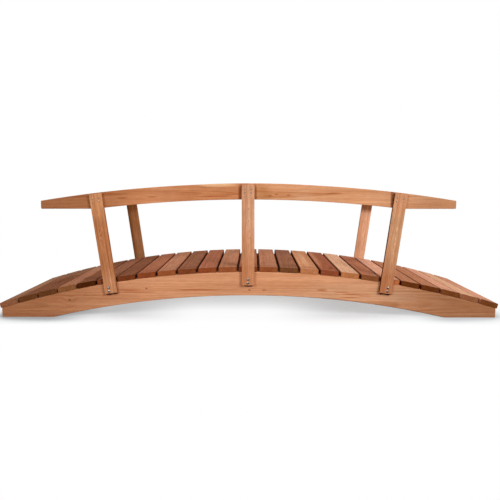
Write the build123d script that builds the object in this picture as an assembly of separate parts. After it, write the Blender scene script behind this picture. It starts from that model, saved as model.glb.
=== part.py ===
from build123d import *
import math
import os

# Low arched garden footbridge in plain softwood, in millimetres.
# +X runs along the span, +Y across it away from the front side, and +Z is up.
# The origin is on the ground, under the middle of the deck.

# Stringers: one board on edge along each side, sawn to an arc above and below.
stringer_length = 2438
stringer_thickness = 38
stringer_crown_height = 227
stringer_end_height = 46
arch_crown_height = 110
foot_length = 255
stringer_edge_radius = 3

# Deck: flat boards across both stringers, side by side round the arc.
deck_width = 720
board_width = 89
board_thickness = 25
board_gap = 11
board_edge_radius = 3.5
board_seat_clearance = 0.1
deck_overhang = 6

# Posts: three flat battens a side, on the outer faces of the stringer and the rail.
post_width = 61
post_thickness = 19
post_length = 490
post_edge_chamfer = 1.5
middle_post_lap = 64.5
outer_post_lap = 49.5
outer_post_reach = 677
outer_post_lean_degrees = 7.4

# Rails: two boards a side that meet behind the middle post, sawn to an arc above
# and below. Under each tip the board's own straight lower edge is left.
rail_length = 2006
rail_thickness = 19
rail_depth = 76
rail_tip_depth = 39
rail_above_post = 4
rail_joint_gap = 0.5
rail_edge_chamfer = 1.5
rail_tip_radius = 5


def arc_radius(half_chord, rise):
    """Radius of the arc that rises this far over twice the half chord."""
    return (half_chord**2 + rise**2) / (2 * rise)


def fall(radius, x):
    """How far below its crown an arc centred on x = 0 is at x."""
    return radius - math.sqrt(radius**2 - x**2)


def arch_line(crown, radius, start_x, end_x):
    """The arc with its crown over the origin, from one x to another."""
    stations = (start_x, (start_x + end_x) / 2, end_x)
    return ThreePointArc(*[(x, crown - fall(radius, x)) for x in stations])


def upright_board(outline, front_y, thickness):
    """A board on edge, cut to an outline seen from the front."""
    face = Plane.XZ * make_face(outline)
    return Pos(0, front_y, 0) * extrude(face, amount=thickness, dir=(0, 1, 0))


# The stringers' two arcs, and the height of the upper one at any x
half_stringer = stringer_length / 2
top_radius = arc_radius(half_stringer, stringer_crown_height - stringer_end_height)
half_arch = half_stringer - foot_length
arch_radius = arc_radius(half_arch, arch_crown_height)
stringer_face_y = deck_width / 2


def stringer(front_y):
    """One stringer: square ends, flat feet, and two sawn arcs with their edges rounded over."""
    top = arch_line(stringer_crown_height, top_radius, -half_stringer, half_stringer)
    right = Polyline(top @ 1, (half_stringer, 0), (half_arch, 0))
    arch = arch_line(arch_crown_height, arch_radius, half_arch, -half_arch)
    left = Polyline((-half_arch, 0), (-half_stringer, 0), top @ 0)
    board = upright_board(top + right + arch + left, front_y, stringer_thickness)
    return fillet(board.edges().filter_by(GeomType.CIRCLE), stringer_edge_radius)


def deck_boards():
    """Every deck board, from the left end to the right, each flat on the stringers' arc."""
    arc_length = 2 * top_radius * math.asin(half_stringer / top_radius)
    deck_length = arc_length + 2 * deck_overhang
    count = round((deck_length + board_gap) / (board_width + board_gap))
    spacing = (deck_length - board_width) / (count - 1)
    board = Box(board_width, deck_width, board_thickness)
    board = fillet(board.edges().filter_by(Axis.Y), board_edge_radius)
    arc_centre = Pos(0, 0, stringer_crown_height - top_radius)
    seat = Pos(0, 0, top_radius + board_seat_clearance + board_thickness / 2)
    boards = []
    for number in range(count):
        along = (number - (count - 1) / 2) * spacing
        turn = Rot(0, math.degrees(along / top_radius), 0)
        boards.append(arc_centre * turn * seat * board)
    return boards


def post_place(reach, lean):
    """Where a post's middle line crosses the stringer's upper arc, turned to its lean."""
    return Pos(reach, 0, stringer_crown_height - fall(top_radius, reach)) * Rot(0, lean, 0)


def post(side, reach, lean, lap):
    """One post, square at both ends, its back flat against the stringer's outer face."""
    batten = Box(post_width, post_thickness, post_length)
    batten = chamfer(batten.edges(), post_edge_chamfer)
    out = side * (stringer_face_y + post_thickness / 2)
    return post_place(reach, lean) * Pos(0, out, post_length / 2 - lap) * batten


# The rails' upper arc passes just over the posts' tops.
rail_crown_height = stringer_crown_height - middle_post_lap + post_length + rail_above_post
outer_post_end = Pos(0, 0, post_length - outer_post_lap)
outer_top = (post_place(outer_post_reach, outer_post_lean_degrees) * outer_post_end).position
rail_radius = arc_radius(outer_top.X, rail_crown_height - rail_above_post - outer_top.Z)


def right_rail(front_y):
    """The right half of one rail, from the joint behind the middle post to the tip."""
    joint_x = rail_joint_gap / 2
    tip_x = rail_length / 2
    under_radius = rail_radius - rail_depth
    under_crown = rail_crown_height - rail_depth
    straight_z = rail_crown_height - fall(rail_radius, tip_x) - rail_tip_depth
    straight_x = math.sqrt(under_radius**2 - (under_radius - under_crown + straight_z) ** 2)
    top = arch_line(rail_crown_height, rail_radius, joint_x, tip_x)
    tip = Polyline(top @ 1, (tip_x, straight_z), (straight_x, straight_z))
    under = arch_line(under_crown, under_radius, straight_x, joint_x)
    joint = Line(under @ 1, top @ 0)
    board = upright_board(top + tip + under + joint, front_y, rail_thickness)
    tip_corners = board.edges().filter_by(Axis.Y).group_by(Axis.X)[-1]
    board = fillet(tip_corners, rail_tip_radius)
    square_edges = board.edges().filter_by(Axis.Y) + board.edges().filter_by(Axis.Z)
    return chamfer(board.edges() - square_edges, rail_edge_chamfer)


pieces = {}
for number, board in enumerate(deck_boards(), start=1):
    pieces[f"deck_board_{number:02d}"] = board
for name, side in (("front", -1), ("back", 1)):
    stringer_y = side * stringer_face_y if side < 0 else stringer_face_y - stringer_thickness
    rail_y = side * stringer_face_y if side < 0 else stringer_face_y - rail_thickness
    pieces[f"stringer_{name}"] = stringer(stringer_y)
    pieces[f"rail_{name}_right"] = right_rail(rail_y)
    pieces[f"rail_{name}_left"] = mirror(pieces[f"rail_{name}_right"], about=Plane.YZ)
    pieces[f"post_{name}_middle"] = post(side, 0, 0, middle_post_lap)
    pieces[f"post_{name}_right"] = post(side, outer_post_reach, outer_post_lean_degrees, outer_post_lap)
    pieces[f"post_{name}_left"] = post(side, -outer_post_reach, -outer_post_lean_degrees, outer_post_lap)

os.makedirs("parts", exist_ok=True)
for name, piece in pieces.items():
    export_step(piece, f"parts/{name}.step")
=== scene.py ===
import math

import bmesh
import bpy
from mathutils import Matrix, Vector


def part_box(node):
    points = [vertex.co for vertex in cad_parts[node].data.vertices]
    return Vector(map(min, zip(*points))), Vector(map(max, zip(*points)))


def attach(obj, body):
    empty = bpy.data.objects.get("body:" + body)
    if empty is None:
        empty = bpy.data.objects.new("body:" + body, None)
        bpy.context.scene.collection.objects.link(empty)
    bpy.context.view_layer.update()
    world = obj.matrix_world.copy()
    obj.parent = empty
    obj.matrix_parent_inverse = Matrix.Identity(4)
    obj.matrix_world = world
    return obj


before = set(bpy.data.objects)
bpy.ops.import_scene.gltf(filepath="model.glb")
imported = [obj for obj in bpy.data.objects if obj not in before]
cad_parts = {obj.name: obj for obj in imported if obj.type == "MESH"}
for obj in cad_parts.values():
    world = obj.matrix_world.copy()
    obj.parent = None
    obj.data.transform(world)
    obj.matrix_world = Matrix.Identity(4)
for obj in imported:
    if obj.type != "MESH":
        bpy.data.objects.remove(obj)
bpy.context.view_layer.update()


# Camera: 3 m from the middle of the bridge and just above its rails, straight at one side
# and looking slightly down, with a normal lens.
camera_place = (0.0252, -3.032, 0.6653)
camera_sensor = 36
camera_lens = 39.75
camera_pitch_down = math.radians(7.04)
camera_turn_left = math.radians(0.345)


def add_object(name, data):
    """Puts a new object in the scene, at the origin and unturned."""
    piece = bpy.data.objects.new(name, data)
    bpy.context.scene.collection.objects.link(piece)
    return piece


camera_data = bpy.data.cameras.new("camera")
camera_data.sensor_width = camera_sensor
camera_data.lens = camera_lens
camera = add_object("camera", camera_data)
camera.location = camera_place
camera.rotation_euler = (math.pi / 2 - camera_pitch_down, 0, camera_turn_left)
bpy.context.scene.camera = camera
bpy.context.scene.view_settings.view_transform = "Standard"


# Stringers: one softwood board on edge along each side, sawn to an arc above and below
# and left unfinished. The faces show long straight grain with a few small pin knots, and
# both ends are darker and redder, partly the wood's own tone and partly painted shade.
def tone(red, green, blue):
    """A colour written in the usual 0 to 255 steps, turned by the sRGB curve to linear light."""
    steps = [channel / 255 for channel in (red, green, blue)]
    return tuple(s / 12.92 if s <= 0.04045 else ((s + 0.055) / 1.055) ** 2.4 for s in steps) + (1,)


def feed(tree, socket, value):
    """Links a socket to another node's output, or sets it to a plain value."""
    if isinstance(value, bpy.types.NodeSocket):
        tree.links.new(value, socket)
    else:
        socket.default_value = value


def maths(tree, operation, *values):
    node = tree.nodes.new("ShaderNodeMath")
    node.operation = operation
    for socket, value in zip(node.inputs, values):
        feed(tree, socket, value)
    return node.outputs[0]


def vector_maths(tree, operation, first, second=(0, 0, 0)):
    node = tree.nodes.new("ShaderNodeVectorMath")
    node.operation = operation
    feed(tree, node.inputs[0], first)
    feed(tree, node.inputs[1], second)
    return node.outputs["Value" if operation == "LENGTH" else "Vector"]


def axis_of(tree, vector, letter):
    split = tree.nodes.new("ShaderNodeSeparateXYZ")
    feed(tree, split.inputs[0], vector)
    return split.outputs[letter]


def smooth_step(tree, value, start, end, low=0.0, high=1.0):
    """A smooth step from low to high as the value goes from start to end."""
    node = tree.nodes.new("ShaderNodeMapRange")
    node.interpolation_type = "SMOOTHSTEP"
    for socket, amount in zip(node.inputs, (value, start, end, low, high)):
        feed(tree, socket, amount)
    return node.outputs[0]


def fade(tree, value, start, end):
    """A smooth step down, from 1 at the start to 0 at the end."""
    return smooth_step(tree, value, start, end, low=1.0, high=0.0)


def noise(tree, vector, stretch, detail=2.0, roughness=0.5):
    """Soft noise about 0, from -0.5 to 0.5, with its own scale along each axis."""
    node = tree.nodes.new("ShaderNodeTexNoise")
    feed(tree, node.inputs["Vector"], vector_maths(tree, "MULTIPLY", vector, stretch))
    node.inputs["Scale"].default_value = 1
    node.inputs["Detail"].default_value = detail
    node.inputs["Roughness"].default_value = roughness
    return maths(tree, "SUBTRACT", node.outputs["Fac"], 0.5)


def colour_mix(tree, factor, first, second, blend="MIX"):
    node = tree.nodes.new("ShaderNodeMix")
    node.data_type = "RGBA"
    node.blend_type = blend
    feed(tree, node.inputs["Factor"], factor)
    feed(tree, node.inputs["A"], first)
    feed(tree, node.inputs["B"], second)
    return node.outputs["Result"]


def tinted(tree, mask, colour, tint):
    """The colour times a tint of red, green and blue shares, as far as the mask says."""
    return colour_mix(tree, mask, colour, tint + (1,), "MULTIPLY")


def new_group(name, inputs, outputs):
    """An empty shader node group with these named sockets."""
    group = bpy.data.node_groups.new(name, "ShaderNodeTree")
    for in_out, sockets in (("INPUT", inputs), ("OUTPUT", outputs)):
        for label, kind in sockets.items():
            group.interface.new_socket(label, in_out=in_out, socket_type="NodeSocket" + kind)
    given = group.nodes.new("NodeGroupInput").outputs
    return group, given, group.nodes.new("NodeGroupOutput").inputs


def make_sawn_grain():
    """Growth rings cut by the saw: x runs along the grain, and y and z across it."""
    # How many of each mark come in a metre, along the grain and both ways across it, and
    # how strongly it shows
    long_bends, short_bends, short_share = (1.3, 7, 7), (6, 28, 28), 0.1
    streaks, streak_range = (1.1, 70, 70), 0.22
    clouds, cloud_depth = (2.6, 9, 9), 0.35
    flecks, fibres, fibre_depth = (24, 190, 190), (16, 700, 700), 0.3
    # How the rings' spacing and strength change with the years, and where within a ring
    # the late wood starts, is full and stops
    years_pace, years_spread, weakest_year = 0.35, 2.4, 0.4
    late_start, late_full, late_stop = 0.25, 0.9, 0.93
    late_height, even_roughness, fibre_roughness = 0.3, 0.8, 0.3

    tree, given, result = new_group(
        "sawn grain",
        {"Vector": "Vector", "Pith": "Vector", "Taper": "Float", "Ring Width": "Float",
         "Wander": "Float", "Swell": "Float", "Early": "Color", "Late": "Color",
         "Streak": "Float", "Fleck": "Float"},
        {"Colour": "Color", "Roughness": "Float", "Height": "Float"},
    )
    place = given["Vector"]
    across = vector_maths(tree, "SUBTRACT", place, given["Pith"])
    radius = vector_maths(tree, "LENGTH", vector_maths(tree, "MULTIPLY", across, (0, 1, 1)))
    radius = maths(tree, "MULTIPLY_ADD", axis_of(tree, place, "X"), given["Taper"], radius)
    bend = maths(tree, "MULTIPLY_ADD", noise(tree, place, short_bends), short_share,
                 noise(tree, place, long_bends))
    radius = maths(tree, "MULTIPLY_ADD", bend, given["Wander"], radius)
    radius = maths(tree, "ADD", radius, given["Swell"])
    ring = maths(tree, "DIVIDE", radius, given["Ring Width"])
    years = tree.nodes.new("ShaderNodeTexNoise")
    years.noise_dimensions = "1D"
    years.inputs["Scale"].default_value = years_pace
    feed(tree, years.inputs["W"], ring)
    ring = maths(tree, "MULTIPLY_ADD", years.outputs["Fac"], years_spread, ring)
    within = maths(tree, "FRACT", ring)
    year = tree.nodes.new("ShaderNodeTexWhiteNoise")
    year.noise_dimensions = "1D"
    feed(tree, year.inputs["W"], maths(tree, "FLOOR", ring))
    strength = maths(tree, "MULTIPLY_ADD", year.outputs["Value"], 1 - weakest_year, weakest_year)
    rise = smooth_step(tree, within, late_start, late_full)
    drop = fade(tree, within, late_stop, 1.0)
    late = maths(tree, "MULTIPLY", maths(tree, "MULTIPLY", rise, drop), strength)

    streak = noise(tree, place, streaks, detail=3, roughness=0.65)
    streak = smooth_step(tree, streak, -streak_range, streak_range)
    cloud = noise(tree, place, clouds, detail=3)
    fleck = noise(tree, place, flecks, roughness=0.6)
    fibre = noise(tree, place, fibres, roughness=0.6)
    depth = colour_mix(tree, given["Streak"], late, streak)
    shade = maths(tree, "MULTIPLY_ADD", cloud, cloud_depth, 1)
    shade = maths(tree, "MULTIPLY_ADD", fleck, given["Fleck"], shade)
    shade = maths(tree, "MULTIPLY_ADD", fibre, fibre_depth, shade)
    wood = tree.nodes.new("ShaderNodeVectorMath")
    wood.operation = "SCALE"
    feed(tree, wood.inputs[0], colour_mix(tree, depth, given["Early"], given["Late"]))
    feed(tree, wood.inputs["Scale"], shade)
    feed(tree, result["Colour"], wood.outputs[0])
    roughness = maths(tree, "MULTIPLY_ADD", fibre, fibre_roughness, even_roughness)
    feed(tree, result["Roughness"], roughness)
    feed(tree, result["Height"], maths(tree, "MULTIPLY_ADD", late, late_height, fibre))
    return tree


def make_soft_spot():
    """A soft-edged oval on a face, 1 in its middle, and how far the rings swell round it."""
    whole_within, swell_from, swell_to, swell_share = 0.35, 0.5, 5.0, 0.5
    tree, given, result = new_group(
        "soft spot",
        {"Vector": "Vector", "Centre": "Vector", "Reach": "Vector"},
        {"Mask": "Float", "Swell": "Float"},
    )
    away = vector_maths(tree, "SUBTRACT", given["Vector"], given["Centre"])
    share = vector_maths(tree, "LENGTH", vector_maths(tree, "DIVIDE", away, given["Reach"]))
    feed(tree, result["Mask"], fade(tree, share, whole_within, 1.0))
    swell = maths(tree, "MULTIPLY", fade(tree, share, swell_from, swell_to), swell_share)
    feed(tree, result["Swell"], maths(tree, "MULTIPLY", swell, axis_of(tree, given["Reach"], "Y")))
    return tree


def make_board_sides():
    """Which side of a board is seen, from its own normal: an end, a narrow edge or an arris."""
    side_from, side_full = 0.6, 0.85
    arris_full, arris_to = 0.86, 0.98
    tree, given, result = new_group(
        "board sides", {"Normal": "Vector"}, {"End": "Float", "Edge": "Float", "Arris": "Float"}
    )
    facing = vector_maths(tree, "ABSOLUTE", given["Normal"])
    end, edge, flat = [axis_of(tree, facing, letter) for letter in "XYZ"]
    feed(tree, result["End"], smooth_step(tree, end, side_from, side_full))
    feed(tree, result["Edge"], smooth_step(tree, edge, side_from, side_full))
    squarest = maths(tree, "MAXIMUM", maths(tree, "MAXIMUM", end, edge), flat)
    feed(tree, result["Arris"], fade(tree, squarest, arris_full, arris_to))
    return tree


sawn_grain = make_sawn_grain()
soft_spot = make_soft_spot()
board_sides = make_board_sides()


def use_group(tree, group, **values):
    """Places a group in a material, with its named inputs set or linked."""
    node = tree.nodes.new("ShaderNodeGroup")
    node.node_tree = group
    for label, value in values.items():
        feed(tree, node.inputs[label.replace("_", " ")], value)
    return node.outputs


def new_material(name):
    material = bpy.data.materials.new(name)
    material.use_nodes = True
    return material, material.node_tree


def laid_on(tree, vector, centre, turn):
    """A place or a normal as a board sees it, from its own centre and along its own grain."""
    mapping = tree.nodes.new("ShaderNodeMapping")
    mapping.vector_type = "TEXTURE"
    mapping.inputs["Location"].default_value = centre
    mapping.inputs["Rotation"].default_value = turn
    feed(tree, mapping.inputs["Vector"], vector)
    return mapping.outputs["Vector"]


early_rise = (0.10, 0.13, 0.16)
late_drop = (0.14, 0.25, 0.34)
streak_share = 0.5
# A slight painted highlight on every rounded arris of the wood
arris_highlight = (1.03, 1.03, 1.03)
knot_brown = tone(150, 84, 50)
knot_share, knot_stretch = 0.75, 1.5
wood_gloss = 0.01
grain_height = 0.0002


def dress(node_name, grain, face, wood, end_tint, pith, contrast, taper, ring_width=0.0035,
          wander=0.012, fleck=0.4, knots=(), spots=(), finish=None):
    """Gives one board its own wood, laid along its grain and seen on its face.

    The pith is where the heart of the log lies, across the face and out of it. Knots and
    spots have a place and a reach along the grain and across the face; a spot also has the
    tint that it gives to the wood there. A finish takes the colour after them and gives it
    back changed.
    """
    low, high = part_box(node_name)
    turn = Matrix((grain, face.cross(grain), face)).transposed().to_euler()
    material, tree = new_material("wood_" + node_name)
    surface = tree.nodes["Principled BSDF"]
    found = tree.nodes.new("ShaderNodeTexCoord").outputs
    place = laid_on(tree, found["Object"], (low + high) / 2, turn)
    sides = use_group(tree, board_sides, Normal=laid_on(tree, found["Normal"], (0, 0, 0), turn))

    swell, dark = 0.0, 0.0
    for along, across, reach in knots:
        knot = use_group(tree, soft_spot, Vector=place, Centre=(along, across, 0),
                         Reach=(reach * knot_stretch, reach, 1))
        swell = maths(tree, "ADD", swell, knot["Swell"])
        dark = maths(tree, "MAXIMUM", dark, knot["Mask"])
    early = tuple(part * (1 + rise * contrast) for part, rise in zip(wood, early_rise)) + (1,)
    late = tuple(part * (1 - drop * contrast) for part, drop in zip(wood, late_drop)) + (1,)
    grown = use_group(tree, sawn_grain, Vector=place, Pith=(0, *pith), Taper=taper,
                      Ring_Width=ring_width, Wander=wander, Swell=swell, Early=early, Late=late,
                      Streak=streak_share, Fleck=fleck)
    colour = grown["Colour"]
    for along, across, reach, width, tint in spots:
        patch = use_group(tree, soft_spot, Vector=place, Centre=(along, across, 0),
                          Reach=(reach, width, 1))
        colour = tinted(tree, patch["Mask"], colour, tint)
    if knots:
        colour = colour_mix(tree, maths(tree, "MULTIPLY", dark, knot_share), colour, knot_brown)
    if finish:
        colour = finish(tree, found["Object"], place, sides, colour)
    colour = tinted(tree, sides["End"], colour, end_tint)
    colour = tinted(tree, sides["Arris"], colour, arris_highlight)
    feed(tree, surface.inputs["Base Color"], colour)
    feed(tree, surface.inputs["Roughness"], grown["Roughness"])
    surface.inputs["Specular IOR Level"].default_value = wood_gloss
    bump = tree.nodes.new("ShaderNodeBump")
    bump.inputs["Distance"].default_value = grain_height
    feed(tree, bump.inputs["Height"], grown["Height"])
    feed(tree, surface.inputs["Normal"], bump.outputs["Normal"])
    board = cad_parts[node_name]
    board.data.materials.clear()
    board.data.materials.append(material)


def deeper_ends(start, end, left_tint, right_tint):
    """A finish that deepens a board's colour towards the two ends of the bridge: partly the wood's own
    tone, partly painted shade.
    """
    def finish(tree, bridge_place, place, sides, colour):
        along = axis_of(tree, bridge_place, "X")
        colour = tinted(tree, smooth_step(tree, along, -start, -end), colour, left_tint)
        return tinted(tree, smooth_step(tree, along, start, end), colour, right_tint)
    return finish


along_span = Vector((1, 0, 0))
towards_front = Vector((0, -1, 0))
plain_end = (0.68, 0.48, 0.34)
red_line = (0.78, 0.60, 0.48)
stringer_wood = tone(211, 149, 109)
# How much darker the stringers turn at the left and the right end: partly the wood's own tone, partly
# painted shade
stringer_left_end, stringer_right_end = (0.60, 0.53, 0.47), (0.54, 0.51, 0.47)
# Painted shade: a thin dark line right under each post's foot, with its tint, its width across the face
# and its reach into the board
foot_shade = (0.16, 0.07, 0.04)
foot_shade_width, foot_shade_depth = 0.007, 0.02
# Where the posts' feet end on the stringer: a place along it and across it, and a reach.
# A leaning foot has two of them, one a little lower than the other.
foot_edges = ((0, 0.045, 0.030), (-0.686, 0.002, 0.022), (-0.656, 0.006, 0.022),
              (0.686, 0.002, 0.022), (0.656, 0.006, 0.022))


def stringer_finish(outer_face):
    """Darker ends, partly painted shade, and a painted thin dark line of shade right under each post's
    foot.
    """
    deeper = deeper_ends(start=0.45, end=1.05, left_tint=stringer_left_end,
                         right_tint=stringer_right_end)

    def finish(tree, bridge_place, place, sides, colour):
        colour = deeper(tree, bridge_place, place, sides, colour)
        for along, across, reach in foot_edges:
            line = use_group(tree, soft_spot, Vector=place, Centre=(along, across, outer_face),
                             Reach=(reach, foot_shade_width, foot_shade_depth))
            colour = tinted(tree, line["Mask"], colour, foot_shade)
        return colour
    return finish


stringer_knots = ((-0.882, -0.027, 0.007), (-0.501, 0.030, 0.006), (0.006, 0.023, 0.006))
stringer_spots = (
    (-0.98, -0.074, 0.26, 0.005, (1.30, 1.42, 1.50)),
    (-0.59, 0.023, 0.09, 0.007, red_line),
    (-0.56, 0.012, 0.16, 0.004, red_line),
    (-0.25, 0.024, 0.13, 0.005, red_line),
    (0.079, 0.023, 0.016, 0.006, red_line),
    (0.363, 0.023, 0.035, 0.009, red_line),
    (0.50, -0.01, 0.34, 0.11, (0.96, 1.06, 1.14)),
    (0.571, -0.002, 0.05, 0.016, (0.90, 0.84, 0.80)),
    (0.46, 0.012, 0.05, 0.005, red_line),
    (0.51, 0.003, 0.06, 0.006, red_line),
    (0.50, -0.014, 0.07, 0.005, red_line),
    (0.76, -0.005, 0.12, 0.05, (0.98, 1.07, 1.16)),
)
stringer_low, stringer_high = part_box("stringer_back")
stringer_half_thickness = (stringer_high.y - stringer_low.y) / 2
dress("stringer_front", along_span, towards_front, stringer_wood, plain_end,
      pith=(-0.05, -0.10), contrast=1.6, taper=0.010, ring_width=0.0040, wander=0.016,
      knots=stringer_knots, spots=stringer_spots,
      finish=stringer_finish(stringer_half_thickness))
dress("stringer_back", along_span, towards_front, stringer_wood, plain_end,
      pith=(0.09, -0.12), contrast=1.6, taper=0.012, ring_width=0.0042, wander=0.016,
      finish=stringer_finish(-stringer_half_thickness))


# Deck: flat softwood boards screwed side by side across both stringers, with a narrow gap
# between them whose edges carry painted deep shade. They are plain sawn from many logs, so
# each has its own tone, and their ends show darker end grain.
# Painted shade in the gaps: its tint, how far to each side it reaches, how far down the edge it starts
# and is full, and how much of it lies on the rim of the top
gap_shade_tint = (0.23, 0.08, 0.025)
gap_side = 0.04
sunk_from, sunk_full = 0.011, 0.004
brim_from, brim_full, brim_share = 0.041, 0.044, 0.4


def painted_gap_shade(left, right):
    """A finish of painted shade on the two edges that face a gap and on the rim over them, by a share
    each.
    """
    def finish(tree, bridge_place, place, sides, colour):
        leftward = axis_of(tree, place, "Y")
        gap = smooth_step(tree, leftward, -gap_side, gap_side, low=right, high=left)
        sunk = smooth_step(tree, axis_of(tree, place, "Z"), sunk_from, sunk_full)
        aside = maths(tree, "ABSOLUTE", leftward)
        brim = smooth_step(tree, aside, brim_from, brim_full, high=brim_share)
        shade = maths(tree, "MAXIMUM", maths(tree, "MULTIPLY", sunk, sides["Edge"]), brim)
        return tinted(tree, maths(tree, "MULTIPLY", gap, shade), colour, gap_shade_tint)
    return finish


deck_tones = {
    "brown": tone(138, 87, 61),
    "umber": tone(150, 98, 72),
    "grey": tone(154, 106, 78),
    "rust": tone(153, 88, 60),
    "russet": tone(177, 117, 84),
    "red": tone(170, 107, 79),
    "tan": tone(181, 123, 93),
    "gold": tone(203, 143, 103),
    "rose": tone(212, 152, 123),
    "pale": tone(216, 166, 132),
}
end_tints = {
    "plain": (0.64, 0.42, 0.25),
    "deep": (0.27, 0.17, 0.07),
    "dull": (0.52, 0.47, 0.30),
    "mid": (0.38, 0.25, 0.17),
    "light": (0.76, 0.62, 0.52),
}
# The tone and the end tint of each board, from the left end of the bridge
board_looks = (
    "grey light", "brown dull", "brown dull", "tan dull", "brown deep",
    "umber plain", "brown plain", "red plain", "tan plain", "umber plain",
    "red plain", "tan plain", "red plain", "tan plain", "umber dull",
    "gold light", "rust light", "pale plain", "red dull", "rose plain",
    "russet deep", "russet deep", "rose deep", "pale mid", "rose deep",
)
# How deep the painted shade is in the gap to the left of a board: whole, apart from these
gap_depths = {1: 0.0, 2: 0.0, 3: 0.0, 4: 0.0, 5: 0.4, 23: 0.8, 24: 0.3, 25: 0.3, 26: 0.0}
board_spots = {
    # On boards 1 to 4 the spot is a painted sheen, mostly over the back of the top
    1: ((0.05, 0, 0.60, 0.08, (1.30, 1.45, 1.60)),),
    2: ((0.30, 0, 0.40, 0.08, (1.30, 1.60, 1.85)),),
    3: ((0.30, 0, 0.35, 0.08, (1.25, 1.50, 1.70)),),
    4: ((0.30, 0, 0.30, 0.08, (1.06, 1.25, 1.35)),),
    7: ((-0.10, 0, 0.40, 0.08, (1.04, 1.02, 1.04)),),
    8: ((-0.33, 0, 0.05, 0.08, (0.88, 0.84, 0.80)), (0.05, 0, 0.35, 0.08, (1.10, 1.16, 1.18))),
    9: ((0, 0, 0.40, 0.08, (1.12, 1.16, 1.20)),),
    10: ((-0.31, 0, 0.045, 0.08, (0.86, 0.80, 0.76)),),
    12: ((-0.28, 0, 0.09, 0.08, (0.88, 0.86, 0.80)), (0.25, 0, 0.30, 0.08, (1.14, 1.24, 1.30))),
    14: ((-0.33, 0, 0.05, 0.08, (0.84, 0.80, 0.76)),),
    15: ((-0.29, 0, 0.08, 0.08, (0.84, 0.84, 0.80)), (0.30, 0, 0.2, 0.08, (0.90, 0.92, 0.96))),
    16: ((-0.31, 0, 0.045, 0.08, (0.78, 0.72, 0.68)), (0, 0.006, 0.34, 0.024, (1.08, 1.22, 1.34)),
         (0, -0.030, 0.36, 0.018, (0.84, 0.80, 0.78))),
    17: ((-0.26, -0.018, 0.035, 0.012, (0.55, 0.46, 0.42)),
         (0.08, 0.036, 0.46, 0.034, (1.45, 1.90, 2.05)), (0.25, 0, 0.25, 0.08, (1.10, 1.16, 1.18))),
    18: ((0.05, 0, 0.40, 0.08, (1.12, 1.14, 1.16)),),
    19: ((-0.30, 0, 0.12, 0.08, (1.06, 1.08, 1.08)), (-0.05, 0, 0.25, 0.08, (1.12, 1.16, 1.14))),
    20: ((0.10, 0, 0.50, 0.08, (1.06, 1.12, 1.16)),),
    23: ((-0.33, 0, 0.06, 0.08, (0.86, 0.84, 0.80)),),
    25: ((-0.34, 0, 0.08, 0.08, (0.84, 0.86, 0.90)), (0.25, 0, 0.30, 0.08, (0.88, 0.80, 0.74))),
}
towards_back = Vector((0, 1, 0))
crown_low, crown_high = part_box("deck_board_13")
level_within = 0.001


def leaning(angle):
    """The direction straight up, leant by an angle towards the right end of the bridge."""
    return Vector((math.sin(angle), 0, math.cos(angle)))


def board_up(number):
    """Which way a deck board's top faces, square to the arc that the boards lie on.

    The line to it from the level board at the crown slopes half as much as the board does.
    """
    low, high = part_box(f"deck_board_{number:02d}")
    middle_x, drop = (low.x + high.x) / 2, (crown_low.z + crown_high.z - low.z - high.z) / 2
    return leaning(2 * math.atan(drop / middle_x) if abs(middle_x) > level_within else 0)


# Each board is cut from another place in another log, so the heart lies elsewhere behind
# its face, the log narrows one way or the other, and the rings are narrower or wider.
heart_aside, heart_turn = 0.03, 2.4
heart_behind, heart_step = 0.05, 0.01
deck_taper, taper_turn = 0.02, 1.3
narrow_ring, ring_step = 0.0028, 0.0005
for number, look in enumerate(board_looks, start=1):
    tone_name, end_name = look.split()
    left_gap, right_gap = gap_depths.get(number, 1.0), gap_depths.get(number + 1, 1.0)
    pith = (heart_aside * math.sin(number * heart_turn), -heart_behind - heart_step * (number % 3))
    dress(f"deck_board_{number:02d}", towards_back, board_up(number), deck_tones[tone_name],
          end_tints[end_name], pith=pith, contrast=1.4,
          taper=deck_taper * math.cos(number * taper_turn),
          ring_width=narrow_ring + ring_step * (number % 4), fleck=0.9,
          spots=board_spots.get(number, ()), finish=painted_gap_shade(left_gap, right_gap))


# Rails: two flat softwood boards a side, sawn to a flatter arc than the deck's and screwed
# to the posts, the inner ends meeting behind the middle one. The left boards are redder and
# darker than the right ones, and all of them darken to the tip: partly the wood's own tone,
# partly painted shade.
# The left and right boards' tones and their tips' tints: partly the wood's own, partly painted shade
rail_woods = {"left": tone(197, 130, 88), "right": tone(208, 148, 107)}
left_tip, right_tip = (0.66, 0.64, 0.62), (0.78, 0.80, 0.82)
rail_spots = {
    "left": (
        # Painted shadow of the middle post, on the rail beside its edge
        (0.466, 0, 0.018, 0.09, (0.60, 0.48, 0.40)),
        (0.352, 0.056, 0.13, 0.014, (1.35, 1.90, 2.30)),
        (0.350, -0.001, 0.10, 0.004, red_line),
        (-0.108, -0.008, 0.04, 0.005, red_line),
        (0.037, -0.003, 0.03, 0.004, red_line),
        (-0.20, 0, 0.20, 0.09, (0.90, 0.90, 0.88)),
        (0.085, 0, 0.12, 0.09, (1.05, 1.10, 1.17)),
    ),
    "right": (
        # Painted shadow of the middle post, on the rail beside its edge
        (-0.468, 0, 0.012, 0.09, (0.70, 0.58, 0.46)),
        (-0.440, 0, 0.07, 0.08, (0.82, 0.78, 0.66)),
        (-0.366, 0.004, 0.10, 0.016, (0.90, 0.84, 0.76)),
        (-0.235, 0.004, 0.07, 0.04, (1.03, 1.12, 1.22)),
        (-0.395, 0.003, 0.012, 0.005, red_line),
        (-0.366, 0.009, 0.012, 0.005, red_line),
        (-0.307, 0.005, 0.014, 0.005, red_line),
        (-0.090, 0.013, 0.06, 0.006, red_line),
        (0.20, 0, 0.22, 0.09, (1.08, 1.14, 1.20)),
        # Painted shade on the rail beside the right post's inner edge
        (0.193, 0, 0.012, 0.09, (0.55, 0.42, 0.34)),
    ),
}
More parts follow.
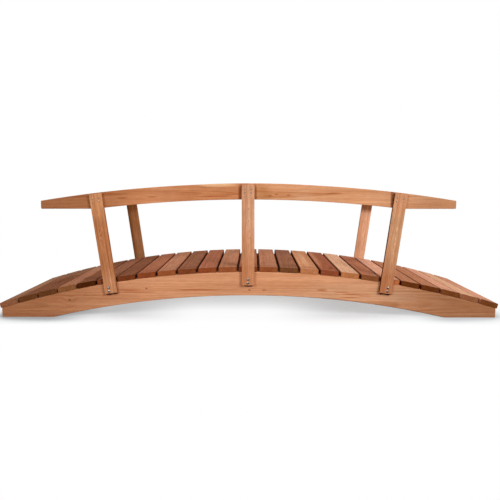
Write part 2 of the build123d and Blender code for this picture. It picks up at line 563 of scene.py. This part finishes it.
for end in ("front", "back"):
    for side in ("left", "right"):
        dress(f"rail_{end}_{side}", along_span, towards_front, rail_woods[side], plain_end,
              pith=(0.01, -0.045), contrast=1.5, taper=0.012,
              spots=rail_spots[side] if end == "front" else (),
              finish=deeper_ends(start=0.5, end=0.95, left_tint=left_tip, right_tint=right_tip))


# Posts: three flat softwood battens a side, upright in the middle and leaning outwards near
# the ends, fixed to the outer faces of the stringer and the rail.
post_lean = math.radians(7.4)
post_leans = {"left": -post_lean, "middle": 0.0, "right": post_lean}
# The left posts are darker than the right ones: partly the wood's own tone, partly painted shade
post_woods = {
    "front_left": tone(183, 119, 78),
    "front_middle": tone(202, 143, 105),
    "front_right": tone(197, 143, 105),
    "back_left": tone(154, 100, 62),
    "back_middle": tone(196, 134, 94),
    "back_right": tone(228, 174, 138),
}
pale_fleck, dark_fleck = (1.22, 1.34, 1.50), (0.72, 0.60, 0.50)
# Of the first two spots on each front post, the one high up lightens the top, and on the middle and
# right post the low one darkens the foot: partly painted light from above, partly the wood's own tone
post_spots = {
    "front_left": (
        (0.245, 0, 0.17, 0.09, (1.32, 1.56, 1.76)),
        (-0.215, 0, 0.10, 0.09, (1.12, 1.26, 1.42)),
        (0, 0.027, 0.40, 0.012, (1.10, 1.14, 1.18)),
        (0.045, 0.013, 0.16, 0.006, (1.16, 1.34, 1.50)),
        (-0.15, 0.010, 0.12, 0.005, (1.16, 1.30, 1.50)),
        (-0.18, -0.008, 0.12, 0.004, (1.20, 1.34, 1.56)),
        (-0.06, -0.014, 0.18, 0.004, (0.84, 0.72, 0.62)),
        (0.10, 0.018, 0.16, 0.004, (0.84, 0.72, 0.62)),
    ),
    "front_middle": (
        (0.18, 0, 0.24, 0.09, (1.08, 1.21, 1.38)),
        (-0.215, 0, 0.14, 0.08, (0.93, 0.83, 0.75)),
        (0.066, -0.004, 0.13, 0.009, (1.08, 1.16, 1.26)),
        (0.128, -0.003, 0.010, 0.003, dark_fleck),
        (0.072, -0.003, 0.010, 0.003, dark_fleck),
        (0.020, -0.007, 0.010, 0.003, dark_fleck),
        (-0.011, -0.009, 0.010, 0.003, dark_fleck),
    ),
    "front_right": (
        (-0.245, 0, 0.19, 0.09, (0.82, 0.66, 0.56)),
        (0.225, 0, 0.12, 0.09, (1.12, 1.10, 1.12)),
        (0.075, 0, 0.12, 0.09, (1.03, 1.09, 1.13)),
        (0.05, 0.022, 0.30, 0.014, (1.06, 1.12, 1.20)),
        (0.05, -0.024, 0.32, 0.016, (0.90, 0.88, 0.86)),
        (0.075, -0.005, 0.010, 0.004, pale_fleck),
        (0.030, -0.006, 0.010, 0.004, pale_fleck),
        (0.002, -0.006, 0.008, 0.004, pale_fleck),
        (-0.045, -0.004, 0.010, 0.004, pale_fleck),
    ),
    "back_left": (
        (0, 0.034, 0.60, 0.026, (0.62, 0.56, 0.46)),
        (-0.11, 0, 0.16, 0.08, (1.30, 1.42, 1.60)),
    ),
}
post_knots = {"front_left": ((0.043, 0.0044, 0.005),)}
# Painted shade on the narrow edge that each outer post turns to the middle
inner_edge_shades = {"left": (0.66, 0.56, 0.48), "right": (0.24, 0.13, 0.08)}
edge_from, edge_full = 0.02, 0.03
# Painted shade of the rail on the inner face of each far post, just under it
top_shade_from, top_shade_full = 0.10, 0.14
inner_face = 0.006


def shaded_inner_edges(side):
    """A finish of painted shade on the narrow edge that an outer post turns to the middle."""
    inwards = -1 if side == "left" else 1

    def finish(tree, bridge_place, place, sides, colour):
        inner = smooth_step(tree, axis_of(tree, place, "Y"), inwards * edge_from, inwards * edge_full)
        return tinted(tree, maths(tree, "MULTIPLY", inner, sides["Edge"]), colour, inner_edge_shades[side])
    return finish


def shaded_top(tint):
    """A finish that paints the shade a rail casts on the inner face of a far post, just under it."""
    def finish(tree, bridge_place, place, sides, colour):
        under = smooth_step(tree, axis_of(tree, place, "X"), top_shade_from, top_shade_full)
        inner = smooth_step(tree, axis_of(tree, place, "Z"), 0.0, inner_face)
        return tinted(tree, maths(tree, "MULTIPLY", under, inner), colour, tint)
    return finish


post_finishes = {
    "front_left": shaded_inner_edges("left"),
    "front_right": shaded_inner_edges("right"),
    "back_left": shaded_top((0.60, 0.56, 0.50)),
    "back_middle": shaded_top((0.50, 0.44, 0.40)),
    "back_right": shaded_top((0.30, 0.22, 0.18)),
}
for place, wood in post_woods.items():
    grain = leaning(post_leans[place.split("_")[1]])
    dress("post_" + place, grain, towards_front, wood, plain_end, pith=(0.006, -0.022),
          contrast=1.6, taper=0.006, ring_width=0.0026, wander=0.006, fleck=0.8,
          knots=post_knots.get(place, ()), spots=post_spots.get(place, ()),
          finish=post_finishes.get(place))


# Fasteners: steel heads with cross recesses. Two zinc-plated domed heads hold each post's
# foot, four dull flush screws its top, and two coated flush screws each end of every deck
# board. Each recess is left turned a little further than the last one.
dome_radius, dome_height = 0.0063, 0.0034
flush_radius, flush_height = 0.0042, 0.0004
head_sides, rim_depth = 12, 0.001
# Shares of a head's radius: half the flat middle, half the recess, its wall and its depth,
# and where the dome starts
middle_share, cross_share, wall_share, depth_share, dome_share = 0.42, 0.1, 0.04, 0.35, 0.62


def finished_mesh(name, mesh):
    data = bpy.data.meshes.new(name)
    mesh.to_mesh(data)
    mesh.free()
    return data


def make_head(name, radius, height, rings):
    """A screw head on z = 0: a cross recess in the middle, and a dome out to the rim."""
    mesh = bmesh.new()
    bmesh.ops.create_grid(mesh, x_segments=3, y_segments=3, size=radius * middle_share)
    middles = [(face, face.calc_center_median()) for face in mesh.faces]
    cross = [face for face, at in middles if min(abs(at.x), abs(at.y)) < radius * cross_share]
    bmesh.ops.inset_region(mesh, faces=cross, thickness=radius * wall_share, depth=-radius * depth_share)
    bmesh.ops.translate(mesh, verts=mesh.verts[:], vec=(0, 0, height))
    inner = [edge for edge in mesh.edges if edge.is_boundary]
    for step in range(1, rings + 1):
        swing = math.pi / 2 * step / rings
        share = dome_share + (1 - dome_share) * math.sin(swing)
        circle = bmesh.ops.create_circle(mesh, segments=head_sides, radius=radius * share)
        bmesh.ops.translate(mesh, verts=circle["verts"], vec=(0, 0, height * math.cos(swing)))
        outer = [edge for edge in mesh.edges if edge.is_wire]
        bmesh.ops.bridge_loops(mesh, edges=inner + outer)
        inner = outer
    rim = bmesh.ops.extrude_edge_only(mesh, edges=inner)["geom"]
    rim_verts = [part for part in rim if isinstance(part, bmesh.types.BMVert)]
    rim_edges = [part for part in rim if isinstance(part, bmesh.types.BMEdge)]
    bmesh.ops.translate(mesh, verts=rim_verts, vec=(0, 0, -rim_depth))
    bmesh.ops.contextual_create(mesh, geom=rim_edges)
    bmesh.ops.recalc_face_normals(mesh, faces=mesh.faces[:])
    return finished_mesh(name, mesh)


def make_steel(name, dark, light, metallic, gloss=0.5):
    """Steel with a cloudy plating or coating and painted light: lighter on the faces turned up and
    darker below.
    """
    clouds, cloud_share = (900, 900, 900), 0.4
    dark_to, light_from = -0.15, 0.5
    even_roughness, cloud_roughness = 0.32, 0.3
    material, tree = new_material(name)
    surface = tree.nodes["Principled BSDF"]
    found = tree.nodes.new("ShaderNodeTexCoord").outputs
    cloud = noise(tree, found["Object"], clouds, detail=3)
    # Painted highlight and shade: faces turned up take the light colour, faces turned down the dark one
    painted_top_light = smooth_step(tree, axis_of(tree, found["Normal"], "Z"), dark_to, light_from)
    lit = maths(tree, "MULTIPLY_ADD", cloud, cloud_share, painted_top_light)
    feed(tree, surface.inputs["Base Color"], colour_mix(tree, lit, dark, light))
    roughness = maths(tree, "MULTIPLY_ADD", cloud, cloud_roughness, even_roughness)
    feed(tree, surface.inputs["Roughness"], roughness)
    surface.inputs["Metallic"].default_value = metallic
    surface.inputs["Specular IOR Level"].default_value = gloss
    return material


# Each steel's dark and light colour are its painted shade and its painted highlight
zinc_steel = make_steel("zinc_steel", tone(20, 21, 24), tone(200, 204, 206), metallic=1.0)
dull_steel = make_steel("dull_steel", tone(108, 94, 80), tone(150, 134, 116), metallic=0.6)
coated_steel = make_steel("coated_steel", tone(92, 66, 48), tone(112, 80, 58), metallic=0.0, gloss=0.1)


def set_heads(name, head, steel, places):
    """Joins one head at every place into a piece that rides with the bridge."""
    mesh = bmesh.new()
    for place in places:
        start = len(mesh.verts)
        mesh.from_mesh(head)
        mesh.verts.ensure_lookup_table()
        bmesh.ops.transform(mesh, matrix=place, verts=mesh.verts[start:])
    piece = add_object(name, finished_mesh(name, mesh))
    piece.data.materials.append(steel)
    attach(piece, "root")


def seat(point, out, turn):
    """Where a head sits: at a point, its top facing out, its recess turned by an angle."""
    upright = out.to_track_quat("Z", "Y").to_matrix().to_4x4()
    return Matrix.Translation(point) @ upright @ Matrix.Rotation(turn, 4, "Z")


dome_rows, dome_shift, dome_turn = (0.0125, 0.030), 0.0075, 0.7
flush_rows, flush_columns, flush_turn = (0.022, 0.039), (-0.0165, 0.0145), 1.1
low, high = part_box("post_front_middle")
post_length = high.z - low.z
dome_places, flush_places = [], []
for end, out in (("front", towards_front), ("back", towards_back)):
    for side, lean in post_leans.items():
        low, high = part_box(f"post_{end}_{side}")
        grain = leaning(lean)
        across = Vector((grain.z, 0, -grain.x))
        outer_y = low.y if end == "front" else high.y
        centre = Vector(((low.x + high.x) / 2, outer_y, (low.z + high.z) / 2))
        shift = dome_shift * ((lean > 0) - (lean < 0))
        for row in dome_rows:
            point = centre + grain * (row - post_length / 2) + across * shift
            dome_places.append(seat(point, out, len(dome_places) * dome_turn))
        for row in flush_rows:
            for column in flush_columns:
                point = centre + grain * (post_length / 2 - row) + across * column
                flush_places.append(seat(point, out, len(flush_places) * flush_turn))
domed_head = make_head("domed_head", dome_radius, dome_height, rings=3)
flush_head = make_head("flush_head", flush_radius, flush_height, rings=1)
set_heads("post_bolts", domed_head, zinc_steel, dome_places)
set_heads("rail_screws", flush_head, dull_steel, flush_places)

screw_line = (stringer_low.y + stringer_high.y) / 2
screw_shift, screw_turn = 0.022, 0.9
half_thickness = (crown_high.z - crown_low.z) / 2
deck_places = []
for number in range(1, len(board_looks) + 1):
    low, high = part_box(f"deck_board_{number:02d}")
    up = board_up(number)
    along = Vector((up.z, 0, -up.x))
    for line in (-screw_line, screw_line):
        for shift in (-screw_shift, screw_shift):
            point = (low + high) / 2 + up * half_thickness + along * shift + Vector((0, line, 0))
            deck_places.append(seat(point, up, len(deck_places) * screw_turn))
set_heads("deck_screws", flush_head, coated_steel, deck_places)


# Floor: a plain white studio floor that keeps the bridge's soft shadow, partly lit and partly
# painted, and runs out to plain white.
floor_reach, floor_drop = 60, 0.0003
white, floor_grey = (1, 1, 1, 1), (0.4, 0.4, 0.4, 1)
pale_shadow = (0.92, 0.93, 0.94, 1)
left_shadow, right_shadow = (0.36, 0.37, 0.38, 1), (0.58, 0.59, 0.60, 1)
left_foot, right_foot = (-0.72, -1.0), (0.78, 1.0)
shadow_reach, shadow_samples, shadow_open = 0.16, 16, 0.62


def seen_plainly(tree):
    """1 where the camera, metal or glass shows a thing, and 0 for the light that it gives back."""
    path = tree.nodes.new("ShaderNodeLightPath").outputs
    seen = maths(tree, "MAXIMUM", path["Is Camera Ray"], path["Is Glossy Ray"])
    return maths(tree, "MAXIMUM", seen, path["Is Transmission Ray"])


def shadow_colour(tree, along):
    """A painted shadow: white in the open, and grey close to the bridge, deepest at its two feet."""
    near = tree.nodes.new("ShaderNodeAmbientOcclusion")
    near.inputs["Distance"].default_value = shadow_reach
    near.samples = shadow_samples
    deepest = colour_mix(tree, smooth_step(tree, along, *left_foot), pale_shadow, left_shadow)
    deepest = colour_mix(tree, smooth_step(tree, along, *right_foot), deepest, right_shadow)
    return colour_mix(tree, smooth_step(tree, near.outputs["AO"], shadow_open, 1.0), deepest, white)


def painted_share(tree, place, along):
    """How much of the floor's colour is painted and not lit: half near the bridge, all far out.

    Under the crown of the arch it is more than half, and all of it towards the front.
    """
    oval, oval_from, oval_to, near_share = (0.75, 1.8, 0), 0.7, 1.05, 0.5
    crown_back, crown_front, crown_back_share = 0.15, -0.35, 0.6
    crown_aside, crown_from, crown_to = 0.08, 0.15, 0.60
    behind_from, behind_to = 0.25, 0.45
    away = vector_maths(tree, "LENGTH", vector_maths(tree, "MULTIPLY", place, oval))
    share = smooth_step(tree, away, oval_from, oval_to, low=near_share)
    backward = axis_of(tree, place, "Y")
    crown_share = smooth_step(tree, backward, crown_back, crown_front, low=crown_back_share)
    beside = maths(tree, "ABSOLUTE", maths(tree, "ADD", along, crown_aside))
    crown = fade(tree, beside, crown_from, crown_to)
    crown = maths(tree, "MULTIPLY", crown, fade(tree, backward, behind_from, behind_to))
    return maths(tree, "MULTIPLY_ADD", crown, maths(tree, "SUBTRACT", crown_share, share), share)


def make_floor_white():
    """Part lit white and part painted white, so that the shadow is soft and the rest clean."""
    material, tree = new_material("white_floor")
    tree.nodes.clear()
    seen = seen_plainly(tree)
    place = tree.nodes.new("ShaderNodeTexCoord").outputs["Object"]
    along = axis_of(tree, place, "X")
    lit = tree.nodes.new("ShaderNodeBsdfDiffuse")
    feed(tree, lit.inputs["Color"], colour_mix(tree, seen, floor_grey, white))
    painted = tree.nodes.new("ShaderNodeEmission")
    feed(tree, painted.inputs["Color"], shadow_colour(tree, along))
    mix = tree.nodes.new("ShaderNodeMixShader")
    feed(tree, mix.inputs[0], maths(tree, "MULTIPLY", painted_share(tree, place, along), seen))
    tree.links.new(lit.outputs[0], mix.inputs[1])
    tree.links.new(painted.outputs[0], mix.inputs[2])
    output = tree.nodes.new("ShaderNodeOutputMaterial")
    tree.links.new(mix.outputs[0], output.inputs["Surface"])
    return material


floor_mesh = bmesh.new()
bmesh.ops.create_grid(floor_mesh, x_segments=1, y_segments=1, size=floor_reach)
bmesh.ops.translate(floor_mesh, verts=floor_mesh.verts[:], vec=(0, 0, -floor_drop))
floor = add_object("floor", finished_mesh("floor", floor_mesh))
floor.data.materials.append(make_floor_white())


# Light: one soft lamp in front and to the right, one in front and to the left, one behind,
# a large one overhead and an even light from all round. The background is plain white.
lit_middle = Vector((0, 0, 0.3))
room_grey = (0.2, 0.2, 0.2, 1)


def soft_lamp(name, place, size, power):
    """A square lamp that faces the middle of the bridge."""
    lamp_data = bpy.data.lights.new(name, "AREA")
    lamp_data.size = size
    lamp_data.energy = power
    lamp = add_object(name, lamp_data)
    lamp.location = place
    lamp.rotation_euler = (Vector(place) - lit_middle).to_track_quat("Z", "Y").to_euler()
    lamp.visible_camera = False


soft_lamp("key_lamp", place=(2.9, -4.4, 2.9), size=1.6, power=186)
soft_lamp("fill_lamp", place=(-2.4, -4.7, 2.2), size=1.5, power=92)
soft_lamp("top_lamp", place=(0.2, 0.1, 3.2), size=2.2, power=24)
soft_lamp("back_lamp", place=(2.2, 4.2, 3.0), size=2.0, power=110)

world = bpy.data.worlds.new("white_room")
bpy.context.scene.world = world
world.use_nodes = True
tree = world.node_tree
tree.nodes.clear()
background = tree.nodes.new("ShaderNodeBackground")
feed(tree, background.inputs["Color"], colour_mix(tree, seen_plainly(tree), room_grey, white))
output = tree.nodes.new("ShaderNodeOutputWorld")
tree.links.new(background.outputs[0], output.inputs["Surface"])
